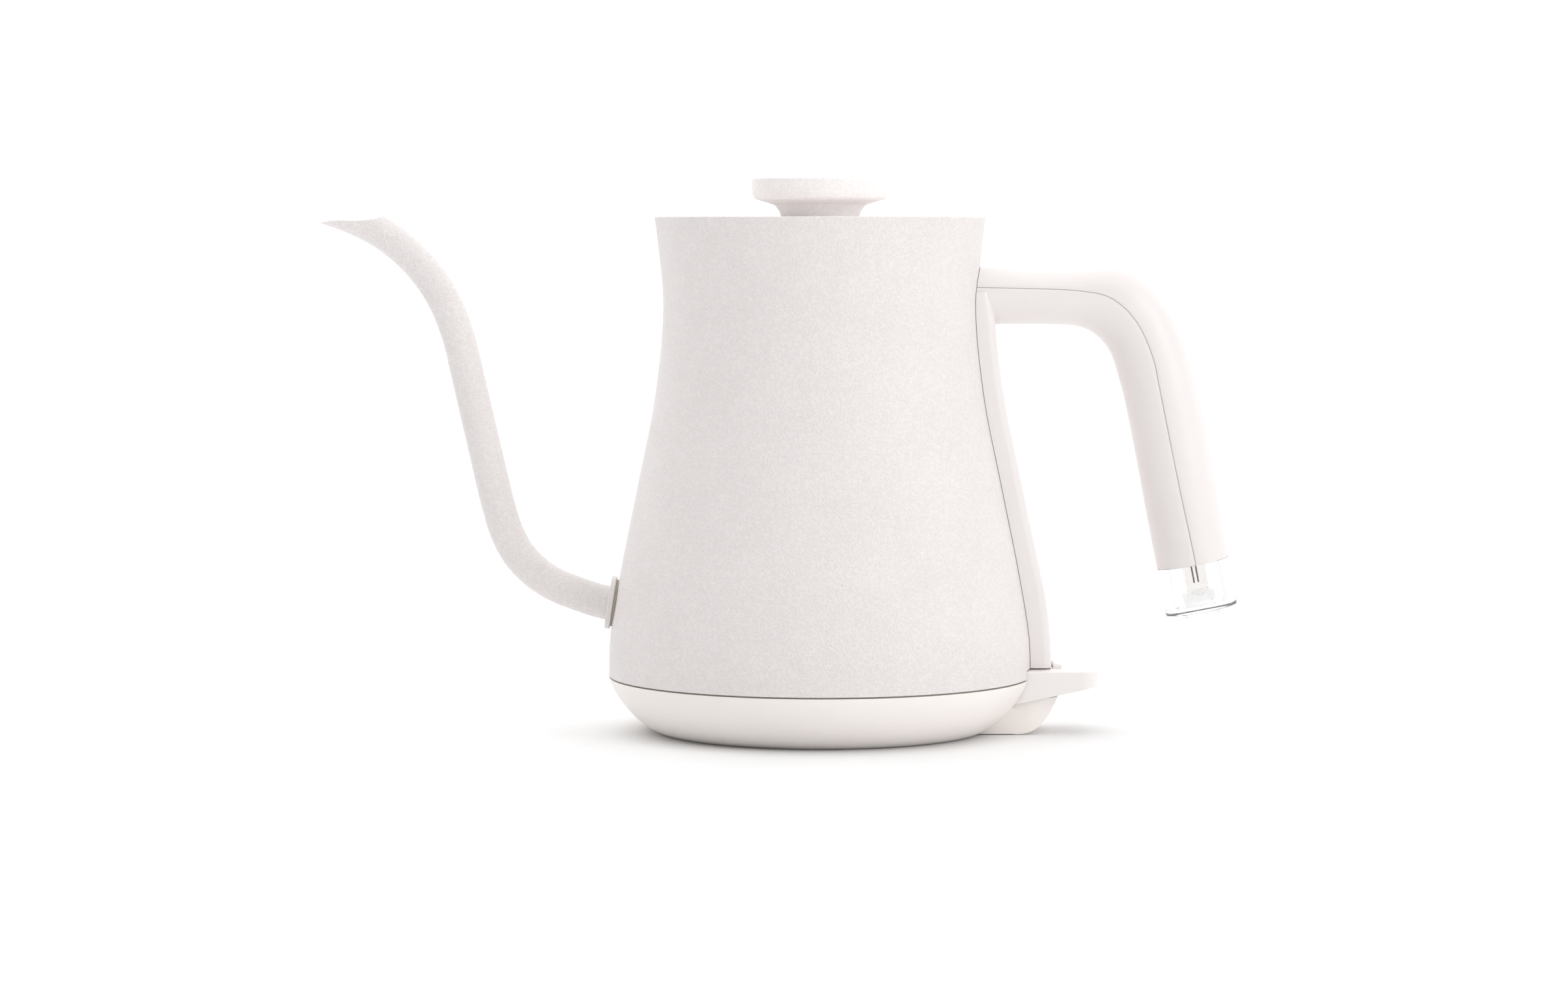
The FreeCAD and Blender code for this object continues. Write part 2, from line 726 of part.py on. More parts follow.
def lever_side(inset):
    """Side outline of the lever: level top, underside rising to the tip."""
    tip_low = 14.5
    root_low = 8.9
    return [(LEVER_ROOT_X - inset, LEVER_TOP_Z - 1.2 * inset),
            (LEVER_TIP_X - inset, LEVER_TOP_Z - 1.2 * inset),
            (LEVER_TIP_X - inset, tip_low - 2 * inset),
            (LEVER_ROOT_X - inset, root_low - 2 * inset)]


def lever_plan(half, tip_x, corner):
    block = box((50, -half, 0), (tip_x, half, 30))
    edges = [e for e in block.Edges if abs(e.CenterOfMass.x - tip_x) < 0.01
             and e.BoundBox.ZLength > 5]
    return block.makeFillet(corner, edges)


def switch_lever():
    """Hollow paddle with a hub on the pin, an inner arm and a raised pad."""
    outside = plate(lever_side(0), LEVER_HALF)
    outside = outside.common(lever_plan(LEVER_HALF, LEVER_TIP_X, 5.0))
    top_edges = [e for e in outside.Edges if abs(e.CenterOfMass.z - LEVER_TOP_Z) < 0.01
                 and e.BoundBox.ZLength < 0.01 and e.CenterOfMass.x > LEVER_ROOT_X + 1]
    outside = outside.makeFillet(0.6, top_edges)
    inner_plan = lever_plan(LEVER_HALF - LEVER_SKIRT, LEVER_TIP_X - LEVER_PLATE, 4.0)
    inside = plate(lever_side(LEVER_SKIRT), LEVER_HALF).common(inner_plan)
    hub_half = BEARING_HALF - 2.6
    hub = box((55.6, -hub_half, 11.8), (60.4, hub_half, LEVER_TOP_Z - LEVER_SKIRT))
    arm = box((47.6, -3, 13.0), (57.0, 3, 15.3))
    web = box((60.4, -1, 14.5), (LEVER_TIP_X - 1, 1, LEVER_TOP_Z - 1))
    pad = box((69.5, -6, LEVER_TOP_Z - 1), (72.0, 6, LEVER_TOP_Z + 1.5))
    crown = [e for e in pad.Edges if e.CenterOfMass.z > LEVER_TOP_Z + 1]
    pad = pad.makeFillet(0.9, crown)
    hole = rod_along(ACROSS, PIN_R + RUNNING_GAP, (PIVOT_X, -20, PIVOT_Z), 40)
    return fused([outside.cut(inside), hub, arm, web, pad]).cut(hole)


def switch_block():
    """Carrier of the switch contacts, under the heater plate."""
    block = box((42.6, -6, 17.2), (52.5, 6, 21.1))
    room = box((43.4, -4, 19.0), (51.7, 4, 20.6))
    bore = rod(1.55, 10, 19.5, PLUNGER_X)
    return cut_all(block, [room, bore])


def contact_plunger():
    return rod(1.5, 15.6, 18.3, PLUNGER_X)


def contact_leaf():
    return box((43.5, -2, 20.1), (51.6, 2, 20.35))


def snap_spring():
    blades = [box((54.2, y, 9.8), (54.5, y + 4, 15.2)) for y in (-7.5, 3.5)]
    return Part.makeCompound(blades)


def steam_bimetal():
    return rod_along(FORWARD, 3.5, (52.6, STEAM_Y, 20.0), 0.4)


# ---- lid ----------------------------------------------------------------

def lid_plate():
    """Flat top with its edge turned down onto the seat."""
    edge_z = SEAT_Z + 0.05
    under = LID_TOP_Z - LID_SHEET
    lid = turned([(1.7, under), (LID_R - LID_SHEET, under), (LID_R - LID_SHEET, edge_z),
                  (LID_R, edge_z), (LID_R, LID_TOP_Z), (1.7, LID_TOP_Z)])
    rounded = [e for e in lid.Edges if abs(e.CenterOfMass.z - LID_TOP_Z) < 0.01
               and e.BoundBox.XLength > LID_R]
    return lid.makeFillet(0.7, rounded)


def lid_skirt():
    return ring(SKIRT_R, SKIRT_R - LID_SHEET, 141.0, LID_TOP_Z - LID_SHEET)


def lid_seal():
    """Soft ring with two ribs around the skirt."""
    band = ring(SKIRT_R + 0.5, SKIRT_R + 0.02, 142.5, 147.0)
    ribs = [ring(SEAT_R - SEAL_GAP, SKIRT_R + 0.02, z, z + 0.8) for z in (143.2, 145.6)]
    return fused([band] + ribs)


def lid_inner_plate():
    disc = rod(39.5, 141.0, 141.8)
    vents = [rod(1.5, 140, 143, x, y) for x, y in around(6, 24)]
    return cut_all(disc, vents)


def lid_knob():
    """Flat knob on a flared stem."""
    flare = interpolated([(KNOB_STEM_R, 153.6), (12.0, 154.6), (12.9, 156.1), (13.8, 156.95)])
    rim = polygon([(13.8, 156.95), (15.8, 157.6), (18.9, 158.45), (19.8, 159.1),
                   (KNOB_R, 160.4), (KNOB_R, KNOB_TOP_Z), (0, KNOB_TOP_Z), (0, LID_TOP_Z),
                   (KNOB_STEM_R, LID_TOP_Z), (KNOB_STEM_R, 153.6)])
    knob = revolved([flare.toShape()] + rim)
    top = [e for e in knob.Edges if abs(e.CenterOfMass.z - KNOB_TOP_Z) < 0.01
           and e.BoundBox.XLength > KNOB_R]
    knob = knob.makeFillet(0.7, top)
    return knob.cut(rod(1.55, 150, 161.5))


def knob_washer():
    return ring(5.0, 1.7, 150.6, LID_TOP_Z - LID_SHEET)


def knob_screw():
    return fused([rod(3.0, 148.9, 150.6), rod(1.5, 150.6, 161.0)])


# ---- output -------------------------------------------------------------

PIECES = [vessel_shell, vessel_floor, lid_seat,
          spout_tube, spout_collar, spout_strainer, spout_gasket,
          handle_bracket, handle_screw, lamp_cap, neon_bulb, lamp_electrodes, lamp_holder,
          lamp_resistor, steam_tube, steam_grommet, lamp_wires,
          heater_plate, heating_element, element_terminals, power_leads, control_body,
          control_screws, bimetal_discs, thermal_fuse, mounting_posts,
          base_cover, base_seal, base_screws, connector_socket, centre_contact,
          neutral_contact, earth_contact,
          lever_bearing, lever_pivot_pin, switch_lever, switch_block, contact_plunger,
          contact_leaf, snap_spring, steam_bimetal,
          lid_plate, lid_skirt, lid_seal, lid_inner_plate, lid_knob, knob_washer, knob_screw]


def main():
    os.makedirs("parts", exist_ok=True)
    shapes = {piece.__name__: piece() for piece in PIECES}
    outer, inner = handle_shells()
    shapes["handle_outer_shell"] = outer
    shapes["handle_inner_shell"] = inner
    for name, shape in shapes.items():
        print(name, len(shape.Solids), round(shape.Volume, 1), shape.isValid())
        shape.exportStep("parts/" + name + ".step")


main()
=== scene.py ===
"""Looks of the gooseneck kettle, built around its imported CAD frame."""

import json
import math

import bmesh
import bpy
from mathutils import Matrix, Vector


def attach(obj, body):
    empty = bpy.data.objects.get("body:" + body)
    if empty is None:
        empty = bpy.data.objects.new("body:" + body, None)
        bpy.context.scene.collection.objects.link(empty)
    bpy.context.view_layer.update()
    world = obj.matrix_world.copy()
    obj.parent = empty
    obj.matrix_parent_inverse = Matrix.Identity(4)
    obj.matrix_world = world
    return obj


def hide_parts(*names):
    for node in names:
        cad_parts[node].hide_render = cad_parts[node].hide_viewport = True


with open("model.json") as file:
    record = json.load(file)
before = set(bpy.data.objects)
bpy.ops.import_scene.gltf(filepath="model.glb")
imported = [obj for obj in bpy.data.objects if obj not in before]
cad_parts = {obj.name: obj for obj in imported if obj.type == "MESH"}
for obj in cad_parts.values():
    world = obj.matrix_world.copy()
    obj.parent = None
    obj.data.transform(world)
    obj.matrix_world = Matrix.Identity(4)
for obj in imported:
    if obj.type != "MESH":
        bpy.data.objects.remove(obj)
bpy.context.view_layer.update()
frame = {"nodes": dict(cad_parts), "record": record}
nodes = frame["nodes"]

MM = 0.001

# ---- sizes, in millimetres, in the frame's own axes ----------------------

SEAM_TOP_Z = 16.8
WALL = 0.8
RIM_R = 49.2
RIM_MIDDLE_Z = 153.0
BOWL_R = 63.1
SHELL_OUTLINE = [(RIM_R, RIM_MIDDLE_Z), (48.3, 146), (46.7, 127), (49.2, 100), (54.5, 73),
                 (59.7, 47), (62.7, 28), (BOWL_R, SEAM_TOP_Z)]
NOTCH_HALF = 15.4
NOTCH_TOP_Z = 19.4
NOTCH_RAMP_DEGREES = 0.9
NOTCH_FADE = 40

HANDLE_STATIONS = [((40.0, 138.6), (40.0, 121.5), 8.3),
                   ((56.0, 138.5), (56.0, 121.5), 8.4),
                   ((69.5, 138.1), (69.0, 121.5), 8.6),
                   ((80.0, 138.2), (76.6, 121.0), 8.9),
                   ((88.6, 138.7), (81.2, 119.1), 9.3),
                   ((94.4, 137.3), (84.5, 116.1), 9.7),
                   ((99.6, 132.4), (86.8, 112.6), 10.0),
                   ((104.7, 125.9), (88.2, 108.5), 10.3),
                   ((108.5, 117.5), (89.2, 104.9), 10.4),
                   ((111.4, 107.7), (90.3, 101.4), 10.5),
                   ((116.1, 86.8), (94.3, 82.0), 10.6),
                   ((119.1, 68.2), (97.7, 64.0), 10.7),
                   ((122.0, 52.4), (100.85, 48.3), 10.75)]
HANDLE_WALL = 2.0
HANDLE_ROOT_X = 44.0
PARTING_LINE = [(38.0, 132.6), (46.4, 132.5), (54.2, 132.35), (65.9, 132.1), (77.6, 131.4),
                (85.4, 129.6), (92.6, 123.5), (98.0, 112.8), (100.6, 101.1), (105.4, 77.7),
                (110.5, 54.3), (112.7, 43.0)]
PARTING_GAP = 0.2
TONGUE_DEPTH = 0.45
TONGUE_REACH = 1.2

SPINE_HALF = 8.8
SPINE_FOOT_Z = 19.4
SPINE_TOP_Z = 131.2
SPINE_OUTLINE = [(50.3, SPINE_TOP_Z), (51.1, 127.0), (51.8, 122.8), (52.1, 119.0),
                 (52.5, 114.5), (54.9, 98.0), (59.0, 78.5), (63.1, 59.2), (67.2, 39.8),
                 (68.6, 28.0), (68.9, SPINE_FOOT_Z)]
SPINE_WALL = 1.5
SPINE_EDGE_R = 2.6
FIT_GAP = 0.15

# ---- light and camera, in watts, metres and degrees, the lens in millimetres -

FRONT_GLOW = 0.28
BACK_GLOW = 1.65
TOP_GLOW = 1.70
HORIZON_GLOW = 1.05
KEY_SIZE = 0.9
KEY_POWER = 6.4
KEY_PLACE = (1.15, -0.95, 0.65)
KEY_AIM = (0, 0, 0.08)
FLOOR_SIZE = 8.0
FLOOR_DARK = (0.85, 0.85, 0.85)
FLOOR_LIGHT = (0.87, 0.87, 0.87)
CAMERA_PLACE = (-0.01075, -1.2450, 0.1520)
CAMERA_TILT = 3.815
CAMERA_LENS = 95.9


# ---- curves ---------------------------------------------------------------

def smooth_curve(points, per_span):
    """A curve through every point, as per_span short steps between neighbours."""
    stops = [Vector(p) for p in points]
    ends = [2 * stops[0] - stops[1]] + stops + [2 * stops[-1] - stops[-2]]
    curve = []
    for before, start, end, after in zip(ends, ends[1:], ends[2:], ends[3:]):
        gaps = [math.sqrt((b - a).length) or 1e-6
                for a, b in ((before, start), (start, end), (end, after))]
        leave = (start - before) / gaps[0] - (end - before) / (gaps[0] + gaps[1])
        leave = (leave + (end - start) / gaps[1]) * gaps[1]
        arrive = (end - start) / gaps[1] - (after - start) / (gaps[1] + gaps[2])
        arrive = (arrive + (after - end) / gaps[2]) * gaps[1]
        for n in range(per_span):
            t = n / per_span
            curve.append(start * (2 * t ** 3 - 3 * t ** 2 + 1) + end * (3 * t ** 2 - 2 * t ** 3)
                         + leave * (t ** 3 - 2 * t ** 2 + t) + arrive * (t ** 3 - t ** 2))
    curve.append(stops[-1])
    return curve


def evened(values, rounds):
    """The same list with small ripples smoothed out and its ends kept."""
    for _ in range(rounds):
        middle = [(a + 2 * b + c) / 4 for a, b, c in zip(values, values[1:], values[2:])]
        values = [values[0]] + middle + [values[-1]]
    return values


def value_at(curve, along, across, place):
    """Reads a curve's across coordinate where its along coordinate is place."""
    for a, b in zip(curve, curve[1:]):
        low, high = sorted((a[along], b[along]))
        if low <= place <= high and high > low:
            share = (place - a[along]) / (b[along] - a[along])
            return a[across] + (b[across] - a[across]) * share
    ends = (curve[0], curve[-1])
    nearest = min(ends, key=lambda p: abs(p[along] - place))
    return nearest[across]


SHELL_CURVE = smooth_curve(SHELL_OUTLINE, 16)


def shell_radius(height):
    return value_at(SHELL_CURVE, 1, 0, height)


# ---- meshes -----------------------------------------------------------------

def mesh_object(name, points, faces, sharp_angle=40):
    """A smooth-shaded object from points in millimetres."""
    mesh = bpy.data.meshes.new(name)
    mesh.from_pydata([Vector(p) * MM for p in points], [], faces)
    mesh.validate()
    shaper = bmesh.new()
    shaper.from_mesh(mesh)
    bmesh.ops.remove_doubles(shaper, verts=shaper.verts, dist=1e-7)
    bmesh.ops.recalc_face_normals(shaper, faces=shaper.faces)
    shaper.to_mesh(mesh)
    shaper.free()
    mesh.polygons.foreach_set("use_smooth", [True] * len(mesh.polygons))
    mesh.set_sharp_from_angle(angle=math.radians(sharp_angle))
    piece = bpy.data.objects.new(name, mesh)
    bpy.context.scene.collection.objects.link(piece)
    return piece


def skin(name, loops, close_ends=True, close_along=False, sharp_angle=40):
    """Joins closed loops of equal length into one surface."""
    size = len(loops[0])
    points = [p for loop in loops for p in loop]
    faces = []
    rows = len(loops) if close_along else len(loops) - 1
    for row in range(rows):
        next_row = (row + 1) % len(loops)
        for n in range(size):
            after = (n + 1) % size
            faces.append((row * size + n, row * size + after,
                          next_row * size + after, next_row * size + n))
    if close_ends and not close_along:
        faces.append(tuple(range(size))[::-1])
        faces.append(tuple((len(loops) - 1) * size + n for n in range(size)))
    return mesh_object(name, points, faces, sharp_angle)


def lathe(name, outline, segments=144, sharp_angle=40):
    """Spins a closed (radius, height) outline around the Z axis."""
    loops = []
    for n in range(segments):
        turn = 2 * math.pi * n / segments
        loops.append([(r * math.cos(turn), r * math.sin(turn), z) for r, z in outline])
    return skin(name, loops, close_along=True, sharp_angle=sharp_angle)


def cut_away(piece, cutter):
    """Removes the cutter's volume from the piece for good."""
    modifier = piece.modifiers.new("cut", "BOOLEAN")
    modifier.operation = "DIFFERENCE"
    modifier.solver = "EXACT"
    modifier.object = cutter
    apply_modifiers(piece)
    bpy.data.objects.remove(cutter)


def apply_modifiers(piece):
    bpy.context.view_layer.update()
    graph = bpy.context.evaluated_depsgraph_get()
    mesh = bpy.data.meshes.new_from_object(piece.evaluated_get(graph))
    piece.modifiers.clear()
    piece.data = mesh


def place(piece, body, slot, material, replaced=()):
    """Dresses a new piece and fixes it to its body."""
    piece.data.materials.clear()
    piece.data.materials.append(material)
    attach(piece, body)
    if replaced:
        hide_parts(*replaced)
    return piece


# ---- materials --------------------------------------------------------------

def new_material(name):
    material = bpy.data.materials.new(name)
    material.use_nodes = True
    tree = material.node_tree
    shader = next(n for n in tree.nodes if n.type == "BSDF_PRINCIPLED")
    return material, tree, shader


def texture_space(tree, stretch=(1, 1, 1)):
    """Object coordinates in millimetres."""
    place_node = tree.nodes.new("ShaderNodeTexCoord")
    mapping = tree.nodes.new("ShaderNodeMapping")
    mapping.inputs["Scale"].default_value = [1000 * s for s in stretch]
    tree.links.new(place_node.outputs["Object"], mapping.inputs["Vector"])
    return mapping.outputs["Vector"]


def noise(tree, space, size_mm, detail=2.0, roughness=0.5):
    node = tree.nodes.new("ShaderNodeTexNoise")
    node.inputs["Scale"].default_value = 1 / size_mm
    node.inputs["Detail"].default_value = detail
    node.inputs["Roughness"].default_value = roughness
    tree.links.new(space, node.inputs["Vector"])
    return node.outputs["Fac"]


def ranged(tree, value, low, high, new_low, new_high):
    node = tree.nodes.new("ShaderNodeMapRange")
    node.inputs["From Min"].default_value = low
    node.inputs["From Max"].default_value = high
    node.inputs["To Min"].default_value = new_low
    node.inputs["To Max"].default_value = new_high
    tree.links.new(value, node.inputs["Value"])
    return node.outputs["Result"]


def combined(tree, operation, first, second=0):
    node = tree.nodes.new("ShaderNodeMath")
    node.operation = operation
    tree.links.new(first, node.inputs[0])
    if isinstance(second, (int, float)):
        node.inputs[1].default_value = second
    else:
        tree.links.new(second, node.inputs[1])
    return node.outputs["Value"]


def tinted(tree, value, dark, light):
    """A colour between two, as value goes from 0 to 1."""
    node = tree.nodes.new("ShaderNodeMix")
    node.data_type = "RGBA"
    node.inputs["A"].default_value = (*dark, 1)
    node.inputs["B"].default_value = (*light, 1)
    tree.links.new(value, node.inputs["Factor"])
    return node.outputs["Result"]


def bumped(tree, shader, height, depth_mm, strength=1.0):
    node = tree.nodes.new("ShaderNodeBump")
    node.inputs["Strength"].default_value = strength
    node.inputs["Distance"].default_value = depth_mm * MM
    tree.links.new(height, node.inputs["Height"])
    tree.links.new(node.outputs["Normal"], shader.inputs["Normal"])


def scaled(colour, factor):
    return tuple(min(1.0, c * factor) for c in colour)


def textured_coating(name, colour, depth_mm):
    """Baked-on coating with a fine, soft-edged pebble grain."""
    pebble_mm = 1.0
    fine_mm = 0.3
    patch_mm = 16.0
    material, tree, shader = new_material(name)
    space = texture_space(tree)
    worm = noise(tree, space, pebble_mm, 2.0, 0.5)
    ridge = combined(tree, "ABSOLUTE", combined(tree, "SUBTRACT", worm, 0.5))
    pebbles = ranged(tree, ridge, 0.0, 0.11, 1.0, 0.0)
    fine = noise(tree, space, fine_mm, 2.0, 0.6)
    broad = noise(tree, space, patch_mm, 2.0)
    height = combined(tree, "ADD", pebbles, combined(tree, "MULTIPLY", fine, 0.35))
    bumped(tree, shader, height, depth_mm)
    tone = combined(tree, "ADD", combined(tree, "MULTIPLY", pebbles, 0.55),
                    combined(tree, "MULTIPLY", broad, 0.45))
    shade = ranged(tree, tone, 0.1, 0.8, 0.0, 1.0)
    tree.links.new(tinted(tree, shade, scaled(colour, 0.935), scaled(colour, 1.04)),
                   shader.inputs["Base Color"])
    tree.links.new(ranged(tree, fine, 0.3, 0.7, 0.46, 0.60), shader.inputs["Roughness"])
    return material


def moulded_plastic(name, colour, rough=0.36, grain_mm=0.22, depth_mm=0.004):
    """Injection-moulded plastic with a fine spark-eroded grain."""
    material, tree, shader = new_material(name)
    space = texture_space(tree)
    grain = noise(tree, space, grain_mm, 2.0)
    flow = noise(tree, space, 22.0, 2.0)
    bumped(tree, shader, grain, depth_mm)
    shade = ranged(tree, flow, 0.3, 0.7, 0.0, 1.0)
    tree.links.new(tinted(tree, shade, scaled(colour, 0.985), colour), shader.inputs["Base Color"])
    tree.links.new(ranged(tree, grain, 0.3, 0.7, rough - 0.04, rough + 0.05),
                   shader.inputs["Roughness"])
    return material


def brushed_metal(name, colour, rough=0.28, stretch=(1, 1, 14), streak_mm=2.2):
    """Metal with drawn or brushed streaks."""
    material, tree, shader = new_material(name)
    space = texture_space(tree, stretch)
    streaks = noise(tree, space, streak_mm, 4.0, 0.6)
    shader.inputs["Metallic"].default_value = 1.0
    bumped(tree, shader, streaks, 0.006)
    shade = ranged(tree, streaks, 0.3, 0.7, 0.0, 1.0)
    tree.links.new(tinted(tree, shade, scaled(colour, 0.86), colour), shader.inputs["Base Color"])
    tree.links.new(ranged(tree, streaks, 0.3, 0.7, rough - 0.06, rough + 0.1),
                   shader.inputs["Roughness"])
    return material


def soft_rubber(name, colour, rough=0.6):
    material, tree, shader = new_material(name)
    space = texture_space(tree)
    bloom = noise(tree, space, 0.8, 4.0, 0.6)
    bumped(tree, shader, bloom, 0.01)
    shade = ranged(tree, bloom, 0.3, 0.7, 0.0, 1.0)
    tree.links.new(tinted(tree, shade, scaled(colour, 0.85), colour), shader.inputs["Base Color"])
    tree.links.new(ranged(tree, bloom, 0.3, 0.7, rough - 0.05, rough + 0.1),
                   shader.inputs["Roughness"])
    return material


def clear_moulding(name, colour, index, rough, clearness=1.0):
    """Transparent or milky plastic or glass, with faint moulding waves."""
    material, tree, shader = new_material(name)
    space = texture_space(tree)
    waves = noise(tree, space, 6.0, 1.0)
    bumped(tree, shader, waves, 0.02, 0.5)
    shade = ranged(tree, waves, 0.3, 0.7, 0.0, 1.0)
    tree.links.new(tinted(tree, shade, scaled(colour, 0.985), colour), shader.inputs["Base Color"])
    tree.links.new(ranged(tree, waves, 0.3, 0.7, rough, rough + 0.02), shader.inputs["Roughness"])
    shader.inputs["Transmission Weight"].default_value = clearness
    shader.inputs["IOR"].default_value = index
    return material


COATING_COLOUR = (0.808, 0.766, 0.757)
HANDLE_COLOUR = (0.808, 0.768, 0.757)
# Painted light: the lever is the handle's off-white plastic, given a lighter colour to make up for
# the shade on its faces.
LEVER_PAINTED_LIGHT_COLOUR = (0.875, 0.835, 0.822)
# The base's slightly warmer hue is its own; its extra lightness over the body's coating is painted
# light, making up for the shade on the downward-facing bowl.
BASE_TINT_AND_PAINTED_LIGHT = (0.935, 0.885, 0.852)
# Painted light: the lid and knob wear the body's coating, lightened to make up for the shade on
# the knob's side and underside.
LID_PAINTED_LIGHT_COLOUR = (0.912, 0.876, 0.867)

coating = textured_coating("textured_coating", COATING_COLOUR, 0.085)
# A lighter copy of the body's coating, painted light for the lid plate and knob.
lid_coating_painted_light = textured_coating("lid_coating_painted_light", LID_PAINTED_LIGHT_COLOUR, 0.04)
steel = brushed_metal("bare_steel", (0.60, 0.59, 0.57))
handle_plastic = moulded_plastic("handle_plastic", HANDLE_COLOUR)
# Lever plastic in its painted-light colour, lighter than the handle's.
lever_plastic = moulded_plastic("lever_plastic", LEVER_PAINTED_LIGHT_COLOUR)
# Base plastic: its own warm hue, lightened as painted light against the bowl's shade.
base_plastic = moulded_plastic("base_plastic", BASE_TINT_AND_PAINTED_LIGHT, rough=0.34)
frosted = moulded_plastic("frosted_plastic", (0.83, 0.80, 0.77), rough=0.45)
dark_rubber = soft_rubber("dark_rubber", (0.20, 0.185, 0.16))
silicone = soft_rubber("silicone", (0.66, 0.64, 0.60))
clear_plastic = clear_moulding("clear_plastic", (0.985, 0.985, 0.985), 1.28, 0.03, 0.96)
lamp_glass = clear_moulding("lamp_glass", (0.97, 0.955, 0.945), 1.3, 0.0)

SLOT_MATERIALS = {
    "body_enamel": coating,
    "bare_steel": steel,
    "handle_plastic": handle_plastic,
    "lever_plastic": lever_plastic,
    "base_plastic": base_plastic,
    "dark_rubber": dark_rubber,
    "silicone": silicone,
    "clear_plastic": clear_plastic,
    "frosted_plastic": frosted,
    "lamp_glass": lamp_glass,
    "electrode_metal": moulded_plastic("electrode_coating", (0.15, 0.108, 0.066), 0.6),
    "resistor_enamel": moulded_plastic("resistor_enamel", (0.50, 0.36, 0.20), 0.3),
    "dark_plastic": moulded_plastic("dark_plastic", (0.035, 0.035, 0.035), 0.42),
    "aluminium": brushed_metal("aluminium", (0.62, 0.62, 0.63), 0.35, (1, 14, 1)),
    "element_sheath": brushed_metal("element_sheath", (0.30, 0.29, 0.28), 0.45),
    "brass": brushed_metal("brass", (0.72, 0.50, 0.20), 0.25),
    "bimetal": brushed_metal("bimetal", (0.48, 0.43, 0.36), 0.35),
    "zinc_steel": brushed_metal("zinc_steel", (0.60, 0.61, 0.62), 0.22),
    "wire_insulation": soft_rubber("wire_insulation", (0.70, 0.66, 0.58)),
    "fuse_body": moulded_plastic("fuse_body", (0.70, 0.67, 0.58), 0.4),
    "plunger_plastic": moulded_plastic("plunger_plastic", (0.58, 0.54, 0.46), 0.4),
}


# The lid plate and knob take the painted-light copy of the coating.
NODE_MATERIALS = {"lid_plate": lid_coating_painted_light, "lid_knob": lid_coating_painted_light,
                  "spout_gasket": soft_rubber("gasket_silicone", (0.50, 0.46, 0.37)),
                  "base_seal": soft_rubber("seal_rubber", (0.30, 0.28, 0.24))}


def dress_cad_nodes():
    """Gives every CAD node its own material, or that of its slot in the record."""
    for part in frame["record"]["subparts"]:
        material = NODE_MATERIALS.get(part["node"], SLOT_MATERIALS[part["material_slot"]])
        materials = nodes[part["node"]].data.materials
        materials.clear()
        materials.append(material)


# ---- vessel -----------------------------------------------------------------

def notch_depth(turn):
    """How far up the wall's lower edge is at an angle from the handle's side."""
    half_angle = math.degrees(math.asin(NOTCH_HALF / BOWL_R))
    side = abs((math.degrees(turn) + 180) % 360 - 180)
    from_end = half_angle + NOTCH_RAMP_DEGREES / 2 - side
    share = min(1.0, max(0.0, from_end / NOTCH_RAMP_DEGREES))
    return (NOTCH_TOP_Z - SEAM_TOP_Z) * share * share * (3 - 2 * share)


def vessel_wall():
    """The waisted wall, with the same coating inside and out."""
    even = [2 * math.pi * n / 180 for n in range(180)]
    edge = math.asin(NOTCH_HALF / BOWL_R)
    extra = [side * (edge + math.radians(step * 0.15)) for side in (-1, 1)
             for step in range(-5, 6)]
    turns = sorted(set(round(t % (2 * math.pi), 6) for t in even + extra))
    half_wall = WALL / 2
    rim = [(RIM_R - half_wall + half_wall * math.cos(a), RIM_MIDDLE_Z + half_wall * math.sin(a))
           for a in [math.pi * n / 8 for n in range(1, 8)]]
    loops = []
    for turn in turns:
        lift = notch_depth(turn)
        loop = []
        for r, z in SHELL_CURVE:
            share = max(0.0, 1 - (z - SEAM_TOP_Z) / NOTCH_FADE)
            height = z + lift * share
            loop.append((shell_radius(height), height))
        inside = [(r - WALL, z) for r, z in reversed(loop)]
        section = loop + inside + rim[::-1]
        loops.append([(r * math.cos(turn), r * math.sin(turn), z) for r, z in section])
    return skin("vessel_wall", loops, close_along=True)


# ---- handle -----------------------------------------------------------------

def handle_lines():
    """Outer edge, inner edge and half width along the handle, evenly smoothed."""
    per_span = 10
    outer = smooth_curve([o for o, i, h in HANDLE_STATIONS], per_span)
    inner = smooth_curve([i for o, i, h in HANDLE_STATIONS], per_span)
    halves = smooth_curve([(h, 0.0) for o, i, h in HANDLE_STATIONS], per_span)
    outer = evened(outer, 8)
    inner = evened(inner, 14)
    halves = evened([h[0] for h in halves], 20)
    return list(zip(outer, inner, halves))


PARTING_CURVE = smooth_curve(PARTING_LINE, 12)


def parting_angle(outer, inner):
    """Angle around the oval at which the chord crosses the parting line."""
    best = 0.5
    nearest = 1e9
    for n in range(201):
        share = n / 200
        point = outer.lerp(inner, share)
        gap = min((point - p).length for p in PARTING_CURVE)
        if gap < nearest:
            nearest = gap
            best = share
    return math.acos(1 - 2 * best)


def oval_point(outer, inner, half, turn, inset):
    """A point on the handle's oval section, inset below its surface."""
    centre = (outer + inner) / 2
    reach = (outer - inner) / 2
    long_half = reach.length - inset
    direction = reach.normalized()
    flat = centre + direction * long_half * math.cos(turn)
    return Vector((flat.x, (half - inset) * math.sin(turn), flat.y))


